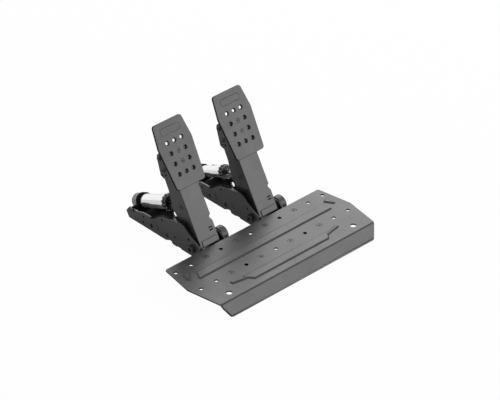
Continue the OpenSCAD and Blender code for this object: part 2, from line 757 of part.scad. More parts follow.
// Pedal face, in its own frame: X across, Z up, front at y = 0
face_edge = 0.8;
face_top = grid_top;
face_points = rounded([
    [-face_top_w/2, face_top], [-face_wide_w/2, face_top - face_crown], [-face_foot_w/2, face_top - face_len],
    [face_foot_w/2, face_top - face_len], [face_wide_w/2, face_top - face_crown], [face_top_w/2, face_top]
], [face_corner, 3*face_corner, face_corner, face_corner, 3*face_corner, face_corner]);
grip_bore_r = 3;
frame_mid = grid_top/2 + 1.5;
frame_half = 22;
frame_h = 13;
frame_line = 0.7;
frame_depth = 0.5;
m4_r = 2;
m4_head_r = 4;
m4_head_h = 2;
m4_sink = 0.55;
m4_socket = 2.5;

module each_face_screw() { for (row = [1, 2]) translate([0, 0, -row*grid_z]) children(); }
module each_grip_hole() {
    for (row = [0:3], column = [-1, 0, 1])
        if (column != 0 || row == 0 || row == 3) translate([column*grid_x, 0, -row*grid_z]) children();
}
module rounded_frame(half, h, r) {
    polygon(rounded([[-half, -h/2], [half, -h/2], [half, h/2], [-half, h/2]], [r, r, r, r]));
}

module pedal_face(side) {
    color(satin_black) at_pedal(side) in_face() difference() {
        translate([0, face_t, 0]) rotate([90, 0, 0]) bevelled_plate(face_points, face_t, face_edge);
        each_grip_hole() rotate([-90, 0, 0]) {
            translate([0, 0, -cut]) cylinder(r = grip_bore_r, h = face_t + 2*cut);
            cylinder(r1 = grip_d/2, r2 = grip_bore_r, h = grip_d/2 - grip_bore_r);
        }
        each_face_screw() rotate([-90, 0, 0]) {
            translate([0, 0, -cut]) cylinder(r = m4_r + seat_gap, h = face_t + 2*cut);
            cylinder(r1 = m4_head_r + seat_gap + m4_sink, r2 = m4_r + seat_gap, h = m4_head_h + m4_sink);
        }
        translate([0, frame_depth, frame_mid]) rotate([90, 0, 0]) linear_extrude(frame_depth + cut)
            difference() {
                rounded_frame(frame_half, frame_h, 4);
                rounded_frame(frame_half - frame_line, frame_h - 2*frame_line, 4 - frame_line);
            }
    }
}

module face_screws(side) {
    color(zinc_steel) at_pedal(side) in_face() each_face_screw() rotate([-90, 0, 0])
        translate([0, 0, m4_sink]) difference() {
            union() {
                cylinder(r = m4_r, h = face_t + sheet_t - m4_sink);
                cylinder(r1 = m4_head_r, r2 = m4_r, h = m4_head_h);
            }
            translate([0, 0, -cut]) cylinder(r = m4_socket/sqrt(3), h = socket_depth + cut, $fn = 6);
        }
}

// Bracket that carries the face: a web behind the face and two ears along the arm
bracket_ear = [
    [face_t, -bracket_top], [22, -bracket_top - 1], [30, -bracket_top - 3], [34, -bracket_top - 8],
    [42.9, -51.2], [37.5, -58], [20, -bracket_foot + 4], [face_t, -bracket_foot]
];
spare_holes = [[27, -53.5], [18, -54]];
spare_hole_r = 2.2;

module face_bracket(side) {
    color(satin_black) at_pedal(side) difference() {
        in_face() difference() {
            union() {
                translate([-bracket_out, face_t, -bracket_foot])
                    cube([2*bracket_out, sheet_t, bracket_foot - bracket_top]);
                side_sheet(bracket_ear, -bracket_out, sheet_t);
                side_sheet(bracket_ear, bracket_in, sheet_t);
            }
            translate([-bracket_out, face_t, -bracket_foot]) fold_cutter(fold_r, bracket_foot);
            mirror([1, 0, 0]) translate([-bracket_out, face_t, -bracket_foot]) fold_cutter(fold_r, bracket_foot);
            each_face_screw() translate([0, face_t - cut, 0]) rotate([-90, 0, 0])
                cylinder(r = m4_r + seat_gap, h = sheet_t + 2*cut);
        }
        in_arm() {
            for (up = ear_screw_up) translate([0, ear_screw_back, up])
                rod_x(m5_r + seat_gap, -bracket_out - cut, bracket_out + cut);
            for (hole = spare_holes, x = [-bracket_out - cut, bracket_in - cut])
                translate([x, hole.x - arm_front, face_up + hole.y]) rod_x(spare_hole_r, 0, sheet_t + 2*cut);
        }
    }
}

button_r = 4.6;
button_h = 2.6;

module bracket_screws(side) {
    color(zinc_steel) at_pedal(side) in_arm() for (end = [0, 1], up = ear_screw_up) mirror([end, 0, 0])
        translate([0, ear_screw_back, up]) difference() {
            union() {
                rod_x(m5_r, -bracket_out, -arm_in + m5_nut_h);
                translate([-bracket_out, 0, 0]) rotate([0, -90, 0])
                    cylinder(r1 = button_r, r2 = button_r - 1.4, h = button_h);
            }
            hex_x(m5_socket, -bracket_out - button_h - cut, -bracket_out - button_h + socket_depth);
        }
}

module bracket_nuts(side) {
    color(zinc_steel) at_pedal(side) in_arm() for (end = [0, 1], up = ear_screw_up) mirror([end, 0, 0])
        translate([0, ear_screw_back, up]) difference() {
            hex_x(m5_nut_flats, -arm_in, -arm_in + m5_nut_h);
            rod_x(m5_r + seat_gap, -arm_in - cut, -arm_in + m5_nut_h + cut);
        }
}

// Strut: tube, collar, cap and gland swing on the trunnion, and rod, piston and eye slide in them
module strut_tube(side) {
    tube_len = tube_front(side) + tube_rear;
    color(bright_chrome) at_pedal(side) in_strut() translate([0, 0, -tube_rear]) difference() {
        cylinder(r = tube_r(side), h = tube_len);
        translate([0, 0, -cut]) cylinder(r = tube_in(side), h = tube_len + 2*cut);
    }
}

module trunnion_collar(side) {
    color(dark_plastic) at_pedal(side) in_strut() difference() {
        union() {
            translate([0, 0, -collar_half]) cylinder(r = tube_r(side) + collar_rim, h = collar_w);
            translate([0, -strut_lift, 0]) intersection() {
                rod_x(boss_r, -chan_in + side_gap, chan_in - side_gap);
                translate([-chan_half, -boss_r, -collar_half]) cube([channel_w, 2*boss_r, collar_w]);
            }
            translate([-chan_in + side_gap, -strut_lift - block_drop, -collar_half])
                cube([2*(chan_in - side_gap), block_drop, collar_w]);
        }
        translate([0, 0, -boss_r - cut]) cylinder(r = tube_r(side) + seat_gap, h = 2*boss_r + 2*cut);
        translate([0, -strut_lift, 0]) {
            rod_x(thread_r + seat_gap, -chan_in, -thread_end);
            rod_x(thread_r + seat_gap, thread_end, chan_in);
        }
    }
}

module trunnion_bolts(side) {
    head_r = trunnion_r + 1.4;
    head_h = 1.8;
    head_at = chan_half + side_gap;
    color(zinc_steel) at_pedal(side) in_trunnion() for (end = [0, 1]) mirror([end, 0, 0]) difference() {
        union() {
            rod_x(thread_r, thread_end, chan_in);
            rod_x(trunnion_r, chan_in - side_gap, head_at);
            rod_x(head_r, head_at, head_at + head_h);
        }
        hex_x(m5_socket, head_at + head_h - socket_depth, head_at + head_h + cut);
    }
}

module rear_cap(side) {
    cap_r = tube_r(side) + cap_rim;
    color(zinc_steel) at_pedal(side) in_strut() difference() {
        rotate_extrude() polygon(rounded(
            [[0, -collar_half - seat_gap], [0, -cap_end], [cap_r, -cap_end], [cap_r, -collar_half - seat_gap]],
            [0, 0, cap_round, 0], 8));
        translate([0, 0, -tube_rear]) cylinder(r = tube_r(side) + seat_gap, h = tube_rear + cut);
    }
}

module front_gland(side) {
    color(zinc_steel) at_pedal(side) in_strut() translate([0, 0, tube_front(side) - gland_plug]) difference() {
        cylinder(r = tube_in(side) - seat_gap, h = gland_plug);
        translate([0, 0, -cut]) cylinder(r = rod_r + run_gap, h = gland_plug + 2*cut);
    }
}

// Notched ring that turns on the front end of the tube and closes it
ring_teeth = 13;
tooth_cut_r = 2.3;
ring_rod_gap = 0.6;

module preload_ring(side) {
    ring_r = tube_r(side) + ring_rim;
    color(dark_plastic) at_pedal(side) in_strut() translate([0, 0, ring_front(side) - ring_w]) difference() {
        cylinder(r = ring_r, h = ring_w);
        translate([0, 0, -cut]) cylinder(r = tube_r(side) + run_gap, h = ring_w - ring_wall + cut);
        translate([0, 0, -cut]) cylinder(r = rod_r + ring_rod_gap, h = ring_w + 2*cut);
        for (k = [1:ring_teeth]) rotate([0, 0, k*360/ring_teeth]) translate([ring_r + 0.5, 0, -cut])
            cylinder(r = tooth_cut_r, h = ring_w + 2*cut, $fn = 24);
    }
}

module strut_rod(side) {
    color(bare_steel) at_pedal(side) in_strut() translate([0, 0, piston_rear(side)])
        cylinder(r = rod_r, h = rod_end - piston_rear(side));
}

module strut_piston(side) {
    color(dark_plastic) at_pedal(side) in_strut() translate([0, 0, piston_rear(side)]) difference() {
        cylinder(r = tube_in(side) - run_gap, h = piston_w);
        translate([0, 0, -cut]) cylinder(r = rod_r + seat_gap, h = piston_w + 2*cut);
    }
}

module rod_eye(side) {
    neck_r = rod_r + 3;
    color(zinc_steel) at_pedal(side) in_strut() difference() {
        union() {
            translate([0, 0, neck_start]) cylinder(r = neck_r, h = eye_neck);
            translate([0, 0, strut_len]) rod_x(eye_r, -arm_in + side_gap, arm_in - side_gap);
        }
        translate([0, 0, strut_len]) rod_x(pin_r + eye_play, -arm_in, arm_in);
        translate([0, 0, neck_start - cut]) cylinder(r = rod_r + seat_gap, h = rod_end - neck_start + cut);
    }
}

// Stroke of the strut at the full press of an arm
function pressed_pin(travel) = let (lean = arm_tilt + travel) [
    pivot_y + pin_back*cos(lean) + pin_up*sin(lean),
    pivot_z - pin_back*sin(lean) + pin_up*cos(lean)
];
function stroke(travel) = strut_len - axis_len(pressed_pin(travel));

module bump_stop(side, travel) {
    start = ring_front(side) + stroke(travel) + bump_gap;
    color(black_rubber) at_pedal(side) in_strut() difference() {
        rotate_extrude() polygon(rounded(
            [[0, start], [bump_r, start], [bump_r, neck_start], [0, neck_start]], [0, 2, 1, 0]));
        translate([0, 0, start - cut]) cylinder(r = rod_r + seat_gap, h = neck_start - start + 2*cut);
    }
}

// Helical spring between the rear cap and the piston, with closed end turns
spring_steps = 12;
spring_sides = 6;
spring_side_gap = 0.8;
function spring_r(side) = tube_in(side) - spring_wire/2 - spring_side_gap;
spring_from = -tube_rear + spring_wire/2 + seat_gap;
function spring_to(side) = piston_rear(side) - spring_wire/2 - seat_gap;
close_pitch = spring_wire + 0.6;
function open_pitch(side) = (spring_to(side) - spring_from - 2*close_pitch)/(spring_turns - 2);
function spring_height(side, turn) = spring_from
    + close_pitch*min(turn, 1)
    + open_pitch(side)*max(0, min(turn, spring_turns - 1) - 1)
    + close_pitch*max(0, turn - spring_turns + 1);
function spring_point(side, i) = let (turn = i/spring_steps) [
    spring_r(side)*cos(360*turn), spring_r(side)*sin(360*turn), spring_height(side, turn)
];
function spring_ring(side, i) = let (turn = i/spring_steps, p = spring_point(side, i)) [
    for (k = [0:spring_sides - 1]) let (a = 360*k/spring_sides)
        p + spring_wire/2*[cos(360*turn)*cos(a), sin(360*turn)*cos(a), sin(a)]
];
spring_count = spring_turns*spring_steps;
function spring_gap(side) = min([for (i = [0:spring_count - spring_steps])
    norm(spring_point(side, i + spring_steps) - spring_point(side, i))]) - spring_wire;

module strut_spring(side) {
    k = spring_sides;
    echo(least_gap_between_spring_turns = spring_gap(side));
    color(bare_steel) at_pedal(side) in_strut() polyhedron(
        [for (i = [0:spring_count]) each spring_ring(side, i)],
        concat(
            [[for (j = [0:k - 1]) j]],
            [[for (j = [k - 1:-1:0]) spring_count*k + j]],
            [for (i = [0:spring_count - 1], j = [0:k - 1]) [i*k + j, (i + 1)*k + j, (i + 1)*k + (j + 1) % k]],
            [for (i = [0:spring_count - 1], j = [0:k - 1]) [i*k + j, (i + 1)*k + (j + 1) % k, i*k + (j + 1) % k]]
        ));
}

heel_plate();
heel_plate_screws();
heel_plate_nuts();
base_channel(-1);  // brake_base_channel
pivot_bushes(-1);  // brake_pivot_bushes
sensor_housing(-1);  // brake_sensor_housing
sensor_cover(-1);  // brake_sensor_cover
sensor_board(-1);  // brake_sensor_board
sensor_screws(-1);  // brake_sensor_screws
cable_socket(-1);  // brake_cable_socket
pedal_arm(-1);  // brake_pedal_arm
pedal_face(-1);  // brake_pedal_face
face_bracket(-1);  // brake_face_bracket
face_screws(-1);  // brake_face_screws
bracket_screws(-1);  // brake_bracket_screws
bracket_nuts(-1);  // brake_bracket_nuts
pivot_shaft(-1);  // brake_pivot_shaft
sensor_magnet(-1);  // brake_sensor_magnet
strut_pin(-1);  // brake_strut_pin
pin_clip(-1);  // brake_pin_clip
strut_tube(-1);  // brake_strut_tube
trunnion_collar(-1);  // brake_trunnion_collar
trunnion_bolts(-1);  // brake_trunnion_bolts
rear_cap(-1);  // brake_rear_cap
front_gland(-1);  // brake_front_gland
preload_ring(-1);  // brake_preload_ring
strut_rod(-1);  // brake_strut_rod
strut_piston(-1);  // brake_strut_piston
rod_eye(-1);  // brake_rod_eye
bump_stop(-1, brake_travel);  // brake_bump_stop
strut_spring(-1);  // brake_strut_spring
base_channel(1);  // throttle_base_channel
pivot_bushes(1);  // throttle_pivot_bushes
sensor_housing(1);  // throttle_sensor_housing
sensor_cover(1);  // throttle_sensor_cover
sensor_board(1);  // throttle_sensor_board
sensor_screws(1);  // throttle_sensor_screws
cable_socket(1);  // throttle_cable_socket
pedal_arm(1);  // throttle_pedal_arm
pedal_face(1);  // throttle_pedal_face
face_bracket(1);  // throttle_face_bracket
face_screws(1);  // throttle_face_screws
bracket_screws(1);  // throttle_bracket_screws
bracket_nuts(1);  // throttle_bracket_nuts
pivot_shaft(1);  // throttle_pivot_shaft
sensor_magnet(1);  // throttle_sensor_magnet
strut_pin(1);  // throttle_strut_pin
pin_clip(1);  // throttle_pin_clip
strut_tube(1);  // throttle_strut_tube
trunnion_collar(1);  // throttle_trunnion_collar
trunnion_bolts(1);  // throttle_trunnion_bolts
rear_cap(1);  // throttle_rear_cap
front_gland(1);  // throttle_front_gland
preload_ring(1);  // throttle_preload_ring
strut_rod(1);  // throttle_strut_rod
strut_piston(1);  // throttle_strut_piston
rod_eye(1);  // throttle_rod_eye
bump_stop(1, throttle_travel);  // throttle_bump_stop
strut_spring(1);  // throttle_strut_spring
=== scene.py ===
"""Two-pedal simulator set: finishes, springs, socket contacts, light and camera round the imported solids."""
import math

import bpy
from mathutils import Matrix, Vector


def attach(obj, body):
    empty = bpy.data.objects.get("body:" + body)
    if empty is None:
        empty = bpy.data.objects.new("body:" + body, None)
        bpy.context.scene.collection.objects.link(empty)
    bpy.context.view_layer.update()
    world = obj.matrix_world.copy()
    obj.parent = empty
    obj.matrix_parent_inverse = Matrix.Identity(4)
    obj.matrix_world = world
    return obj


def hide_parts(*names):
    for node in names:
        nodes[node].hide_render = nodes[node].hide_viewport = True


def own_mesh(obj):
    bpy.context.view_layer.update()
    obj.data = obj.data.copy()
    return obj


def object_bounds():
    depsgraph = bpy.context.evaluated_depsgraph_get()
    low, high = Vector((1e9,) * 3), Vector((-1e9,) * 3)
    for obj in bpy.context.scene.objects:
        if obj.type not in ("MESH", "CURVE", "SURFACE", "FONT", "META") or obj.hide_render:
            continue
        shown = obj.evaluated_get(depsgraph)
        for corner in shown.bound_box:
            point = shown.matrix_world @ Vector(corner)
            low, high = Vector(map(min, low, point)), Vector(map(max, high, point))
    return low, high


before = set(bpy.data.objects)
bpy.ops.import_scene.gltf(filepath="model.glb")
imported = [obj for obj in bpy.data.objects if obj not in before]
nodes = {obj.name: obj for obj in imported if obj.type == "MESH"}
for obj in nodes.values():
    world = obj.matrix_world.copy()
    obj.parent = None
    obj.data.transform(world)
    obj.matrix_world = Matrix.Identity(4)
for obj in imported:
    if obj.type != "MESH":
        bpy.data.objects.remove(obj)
cad_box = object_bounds()
scene = bpy.context.scene
scene.view_settings.view_transform = "Standard"

MM = 0.001

# Middle of each pedal, in millimetres
PEDAL_X = {"brake": -70.0, "throttle": 70.0}

# Camera at the photograph's viewing angle, aimed at the foot of the throttle pedal
CAMERA_TURN = math.radians(43.14)
CAMERA_RISE = math.radians(33.82)
CAMERA_AWAY = 5.5
CAMERA_AIM = Vector((70.64, 33.338, 24.0)) * MM
CAMERA_LENS = 223.45
CAMERA_SENSOR = 36.0
CAMERA_REACH = 100.0


def place_camera():
    """The camera, far off with a long lens."""
    lens = bpy.data.cameras.new("photo_camera")
    lens.lens = CAMERA_LENS
    lens.sensor_width = CAMERA_SENSOR
    lens.clip_end = CAMERA_REACH
    camera = bpy.data.objects.new("photo_camera", lens)
    scene.collection.objects.link(camera)
    back = Vector((
        -math.sin(CAMERA_TURN) * math.cos(CAMERA_RISE),
        -math.cos(CAMERA_TURN) * math.cos(CAMERA_RISE),
        math.sin(CAMERA_RISE),
    ))
    camera.location = CAMERA_AIM + back * CAMERA_AWAY
    camera.rotation_mode = "QUATERNION"
    camera.rotation_quaternion = (-back).to_track_quat("-Z", "Y")
    scene.camera = camera


# Node helpers
def add_node(tree, kind, values=None, **settings):
    """A node of a tree with its settings and the values of its unlinked inputs."""
    node = tree.nodes.new(kind)
    for name, value in settings.items():
        setattr(node, name, value)
    for socket, value in (values or {}).items():
        node.inputs[socket].default_value = value
    return node


def new_group(name, inputs, outputs):
    """An empty shader group with float or vector inputs and float outputs."""
    tree = bpy.data.node_groups.new(name, "ShaderNodeTree")
    for socket, value in inputs.items():
        kind = "NodeSocketVector" if isinstance(value, tuple) else "NodeSocketFloat"
        made = tree.interface.new_socket(socket, in_out="INPUT", socket_type=kind)
        made.default_value = value
    for socket in outputs:
        tree.interface.new_socket(socket, in_out="OUTPUT", socket_type="NodeSocketFloat")
    start = tree.nodes.new("NodeGroupInput")
    end = tree.nodes.new("NodeGroupOutput")
    return tree, start, end


def stretch(tree, source, low, high):
    """A value spread from low..high to 0..1 and held there."""
    spread = add_node(tree, "ShaderNodeMapRange", {"From Min": low, "From Max": high}, clamp=True)
    tree.links.new(source, spread.inputs["Value"])
    return spread.outputs["Result"]


# Effects that the finishes share
def make_grain_group():
    """Fine bumps of a coat or casting, and slow clouds that vary its colour and gloss."""
    inputs = {"Grain Scale": 900.0, "Cloud Scale": 30.0}
    tree, start, end = new_group("surface_grain", inputs, ("Height", "Cloud"))
    place = add_node(tree, "ShaderNodeTexCoord")
    grain = add_node(tree, "ShaderNodeTexNoise", {"Detail": 3.0, "Roughness": 0.55})
    cloud = add_node(tree, "ShaderNodeTexNoise", {"Detail": 4.0, "Roughness": 0.6})
    tree.links.new(place.outputs["Object"], grain.inputs["Vector"])
    tree.links.new(place.outputs["Object"], cloud.inputs["Vector"])
    tree.links.new(start.outputs["Grain Scale"], grain.inputs["Scale"])
    tree.links.new(start.outputs["Cloud Scale"], cloud.inputs["Scale"])
    tree.links.new(grain.outputs["Fac"], end.inputs["Height"])
    tree.links.new(stretch(tree, cloud.outputs["Fac"], 0.3, 0.7), end.inputs["Cloud"])
    return tree


def make_turning_group():
    """Fine rings that a lathe or grinding wheel leaves round an axis."""
    inputs = {"Axis": (0.0, 0.0, 1.0), "Ring Scale": 3000.0}
    tree, start, end = new_group("turning_rings", inputs, ("Rings",))
    place = add_node(tree, "ShaderNodeTexCoord")
    along = add_node(tree, "ShaderNodeVectorMath", operation="DOT_PRODUCT")
    rings = add_node(tree, "ShaderNodeTexNoise", {"Detail": 2.0, "Roughness": 0.6}, noise_dimensions="1D")
    tree.links.new(place.outputs["Object"], along.inputs[0])
    tree.links.new(start.outputs["Axis"], along.inputs[1])
    tree.links.new(along.outputs["Value"], rings.inputs["W"])
    tree.links.new(start.outputs["Ring Scale"], rings.inputs["Scale"])
    tree.links.new(rings.outputs["Fac"], end.inputs["Rings"])
    return tree


def make_rub_group():
    """Patches where handling has rubbed an edge thin."""
    tree, start, end = new_group("edge_rub", {"Patch Scale": 120.0, "Amount": 0.3}, ("Rub",))
    place = add_node(tree, "ShaderNodeTexCoord")
    patch = add_node(tree, "ShaderNodeTexNoise", {"Detail": 5.0, "Roughness": 0.65})
    amount = add_node(tree, "ShaderNodeMath", operation="MULTIPLY")
    tree.links.new(place.outputs["Object"], patch.inputs["Vector"])
    tree.links.new(start.outputs["Patch Scale"], patch.inputs["Scale"])
    tree.links.new(stretch(tree, patch.outputs["Fac"], 0.42, 0.66), amount.inputs[0])
    tree.links.new(start.outputs["Amount"], amount.inputs[1])
    tree.links.new(amount.outputs["Value"], end.inputs["Rub"])
    return tree


def make_dust_group():
    """Thin dust that settles on faces that look up."""
    tree, start, end = new_group("settled_dust", {"Amount": 0.04}, ("Dust",))
    place = add_node(tree, "ShaderNodeTexCoord")
    surface = add_node(tree, "ShaderNodeNewGeometry")
    split = add_node(tree, "ShaderNodeSeparateXYZ")
    specks = add_node(tree, "ShaderNodeTexNoise", {"Scale": 260.0, "Detail": 4.0, "Roughness": 0.7})
    upward = add_node(tree, "ShaderNodeMath", operation="MULTIPLY")
    amount = add_node(tree, "ShaderNodeMath", operation="MULTIPLY")
    tree.links.new(surface.outputs["Normal"], split.inputs["Vector"])
    tree.links.new(place.outputs["Object"], specks.inputs["Vector"])
    tree.links.new(stretch(tree, split.outputs["Z"], 0.55, 1.0), upward.inputs[0])
    tree.links.new(stretch(tree, specks.outputs["Fac"], 0.4, 0.75), upward.inputs[1])
    tree.links.new(upward.outputs["Value"], amount.inputs[0])
    tree.links.new(start.outputs["Amount"], amount.inputs[1])
    tree.links.new(amount.outputs["Value"], end.inputs["Dust"])
    return tree


GRAIN = make_grain_group()
TURNING = make_turning_group()
RUB = make_rub_group()
DUST = make_dust_group()

# Colour sockets of a Mix node, whose other kinds have sockets of the same names
MIX_UNDER = 6
MIX_OVER = 7
MIX_RESULT = 2


def shade(colour, factor):
    """A colour made lighter or darker."""
    return tuple(min(1.0, channel * factor) for channel in colour)


def opaque(colour):
    """A colour with full alpha, as colour sockets take it."""
    return (*colour, 1.0)


class Finish:
    """A material with one Principled shader, and short ways to give it varied colour, gloss and relief."""

    def __init__(self, name, colour, rough, metallic=0.0, **constants):
        self.material = bpy.data.materials.new(name)
        self.material.use_nodes = True
        self.tree = self.material.node_tree
        self.tree.nodes.clear()
        self.shader = add_node(self.tree, "ShaderNodeBsdfPrincipled", {"Metallic": metallic, **constants})
        output = add_node(self.tree, "ShaderNodeOutputMaterial")
        self.tree.links.new(self.shader.outputs["BSDF"], output.inputs["Surface"])
        self.shader.inputs["Base Color"].default_value = opaque(colour)
        self.shader.inputs["Roughness"].default_value = rough
        self.colour = colour
        self.rough = rough
        self.colour_from = None
        self.height_from = None

    def group(self, tree, **values):
        """One of the shared effects, with this finish's own values."""
        node = self.tree.nodes.new("ShaderNodeGroup")
        node.node_tree = tree
        for name, value in values.items():
            node.inputs[name.replace("_", " ")].default_value = value
        return node

    def tint(self, mask, colour):
        """Mixes a colour over what the base colour is so far, where the mask is 1."""
        mix = add_node(self.tree, "ShaderNodeMix", data_type="RGBA")
        self.tree.links.new(mask, mix.inputs["Factor"])
        if self.colour_from is None:
            mix.inputs[MIX_UNDER].default_value = opaque(self.colour)
        else:
            self.tree.links.new(self.colour_from, mix.inputs[MIX_UNDER])
        mix.inputs[MIX_OVER].default_value = opaque(colour)
        self.colour_from = mix.outputs[MIX_RESULT]
        self.tree.links.new(self.colour_from, self.shader.inputs["Base Color"])

    def gloss(self, mask, spread):
        """Spreads the roughness either side of its plain value."""
        span = add_node(self.tree, "ShaderNodeMapRange", {
            "To Min": self.rough - spread, "To Max": self.rough + spread,
        })
        self.tree.links.new(mask, span.inputs["Value"])
        self.tree.links.new(span.outputs["Result"], self.shader.inputs["Roughness"])

    def relief(self, height, depth):
        """Bumps of the given depth in metres."""
        bump = add_node(self.tree, "ShaderNodeBump", {"Strength": 1.0, "Distance": depth})
        self.tree.links.new(height, bump.inputs["Height"])
        if self.height_from is not None:
            self.tree.links.new(self.height_from, bump.inputs["Normal"])
        self.height_from = bump.outputs["Normal"]
        self.tree.links.new(self.height_from, self.shader.inputs["Normal"])


# Direction of the strut axis, from the trunnion towards the pin, and way that the pedal faces look
STRUT_WAY = (0.0, -0.91134, 0.41166)
FACE_LEAN = math.radians(32.5)
FACE_FRONT = Vector((0.0, -math.cos(FACE_LEAN), math.sin(FACE_LEAN)))

COAT = (0.024, 0.0242, 0.0245)
COAT_WORN = (0.3, 0.3, 0.3)
ZINC = (0.03, 0.03, 0.031)
ZINC_WORN = (0.42, 0.41, 0.39)
DUST_COLOUR = (0.42, 0.41, 0.39)
SOLDER_MASK = (0.012, 0.085, 0.035)
COPPER_TRACK = (0.03, 0.17, 0.06)


def coated_steel(name, colour, rub=0.0, rough=0.36, ior=1.5):
    """Satin powder coat on sheet steel: orange peel, slow clouds of gloss and a little dust."""
    finish = Finish(name, colour, rough, IOR=ior)
    grain = finish.group(GRAIN, Grain_Scale=750.0, Cloud_Scale=22.0)
    finish.tint(grain.outputs["Cloud"], shade(colour, 1.16))
    if rub:
        worn = finish.group(RUB, Patch_Scale=90.0, Amount=rub)
        finish.tint(worn.outputs["Rub"], COAT_WORN)
    dust = finish.group(DUST, Amount=0.035)
    finish.tint(dust.outputs["Dust"], DUST_COLOUR)
    finish.gloss(grain.outputs["Cloud"], 0.035)
    finish.relief(grain.outputs["Height"], 0.012 * MM)
    return finish.material


def plated_steel(name, colour, rough, rub=0.0):
    """Blackened zinc on fasteners: dull metal with cloudy gloss."""
    finish = Finish(name, colour, rough, metallic=0.2, IOR=1.5)
    grain = finish.group(GRAIN, Grain_Scale=1500.0, Cloud_Scale=180.0)
    finish.tint(grain.outputs["Cloud"], shade(colour, 1.3))
    if rub:
        worn = finish.group(RUB, Patch_Scale=300.0, Amount=rub)
        finish.tint(worn.outputs["Rub"], ZINC_WORN)
    finish.gloss(grain.outputs["Cloud"], 0.07)
    finish.relief(grain.outputs["Height"], 0.006 * MM)
    return finish.material


def turned_metal(name, colour, rough, metallic=1.0, spread=0.05, depth=0.002 * MM, **constants):
    """Turned, ground or polished metal with fine rings round the strut axis."""
    finish = Finish(name, colour, rough, metallic, **constants)
    rings = finish.group(TURNING, Axis=STRUT_WAY, Ring_Scale=2600.0)
    grain = finish.group(GRAIN, Grain_Scale=1200.0, Cloud_Scale=70.0)
    finish.tint(grain.outputs["Cloud"], shade(colour, 1.06))
    finish.gloss(rings.outputs["Rings"], spread)
    finish.relief(rings.outputs["Rings"], depth)
    return finish.material


def moulded_plastic(name, colour, rough, grain_scale=1400.0, depth=0.008 * MM):
    """Moulded plastic or rubber with the fine skin of an etched mould."""
    finish = Finish(name, colour, rough)
    grain = finish.group(GRAIN, Grain_Scale=grain_scale, Cloud_Scale=60.0)
    finish.tint(grain.outputs["Cloud"], shade(colour, 1.25))
    dust = finish.group(DUST, Amount=0.03)
    finish.tint(dust.outputs["Dust"], DUST_COLOUR)
    finish.gloss(grain.outputs["Cloud"], 0.05)
    finish.relief(grain.outputs["Height"], depth)
    return finish.material


def circuit_board(name):
    """Green solder mask with copper tracks that show through as lighter lines."""
    finish = Finish(name, SOLDER_MASK, 0.3)
    place = add_node(finish.tree, "ShaderNodeTexCoord")
    tracks = add_node(finish.tree, "ShaderNodeTexBrick", {
        "Scale": 240.0, "Mortar Size": 0.06, "Brick Width": 0.9, "Row Height": 0.3,
    })
    turn = add_node(finish.tree, "ShaderNodeMapping", {"Rotation": (0.0, math.pi / 2, 0.0)})
    finish.tree.links.new(place.outputs["Object"], turn.inputs["Vector"])
    finish.tree.links.new(turn.outputs["Vector"], tracks.inputs["Vector"])
    finish.tint(tracks.outputs["Fac"], COPPER_TRACK)
    grain = finish.group(GRAIN, Grain_Scale=1600.0, Cloud_Scale=90.0)
    finish.gloss(grain.outputs["Cloud"], 0.06)
    finish.relief(tracks.outputs["Fac"], 0.02 * MM)
    return finish.material


# Finish of each of the record's slots, and of the rounded edges where handling shows
FINISHES = {
    "coated_steel": coated_steel("coated_steel", COAT),
    "black_zinc": plated_steel("black_zinc", ZINC, rough=0.4),
    "cap_alloy": turned_metal("cap_alloy", (0.2, 0.2, 0.203), rough=0.22),
    "black_alloy": turned_metal(
        "black_alloy", (0.004, 0.004, 0.0042), rough=0.6, metallic=0.0, spread=0.06, depth=0.004 * MM,
        IOR=1.1,
    ),
    "chrome_tube": turned_metal(
        "chrome_tube", (0.95, 0.955, 0.955), rough=0.14, metallic=0.8, spread=0.02, depth=0.0004 * MM,
    ),
    "ground_steel": turned_metal("ground_steel", (0.58, 0.58, 0.59), rough=0.24, spread=0.06),
    "bush_polymer": moulded_plastic("bush_polymer", (0.014, 0.014, 0.015), rough=0.5),
    "sensor_plastic": moulded_plastic("sensor_plastic", (0.04, 0.04, 0.042), rough=0.46, depth=0.012 * MM),
    "piston_plastic": moulded_plastic("piston_plastic", (0.6, 0.59, 0.55), rough=0.5),
    "circuit_board": circuit_board("circuit_board"),
    "stop_rubber": moulded_plastic(
        "stop_rubber", (0.02, 0.02, 0.021), rough=0.72, grain_scale=900.0, depth=0.02 * MM,
    ),
}
EDGES = {
    "coated_steel": coated_steel("coated_steel_edges", shade(COAT, 1.12), rub=0.35),
    "black_zinc": plated_steel("black_zinc_edges", shade(ZINC, 1.25), rough=0.33, rub=0.6),
}

# The preload ring is blackened; its notch edges get bare bright metal, which also paints the highlight that
# the teeth catch
OWN_FINISHES = {"preload_ring": turned_metal("ring_alloy", (0.022, 0.022, 0.0225), rough=0.28)}
OWN_EDGE_HIGHLIGHTS = {"preload_ring": turned_metal("ring_edge_highlight", (0.5, 0.5, 0.505), rough=0.24)}

# Painted shade: a very dark, dull and rough copy of the coat in holes and sockets and on the cut rims of the
# faces, where shade falls
HOLE_SHADE = coated_steel("painted_hole_shade", shade(COAT, 0.12), rough=0.7, ior=1.06)

# Places of the edge finish and of the painted wall shade among a solid's materials
EDGE_PLACE = 1
SHADE_PLACE = 2

# Limits for welding, for flats, for edges that get a round and for edges that are shaded smooth
WELD_WITHIN = 0.001 * MM
FLAT_WITHIN = math.radians(1.0)
ROUND_ABOVE = math.radians(50.0)
SMOOTH_BELOW = math.radians(34.0)


def new_mesh_group(name):
    """An empty geometry group from a mesh to a mesh."""
    tree = bpy.data.node_groups.new(name, "GeometryNodeTree")
    for way in ("INPUT", "OUTPUT"):
        tree.interface.new_socket("Geometry", in_out=way, socket_type="NodeSocketGeometry")
    start = tree.nodes.new("NodeGroupInput")
    end = tree.nodes.new("NodeGroupOutput")
    return tree, start, end


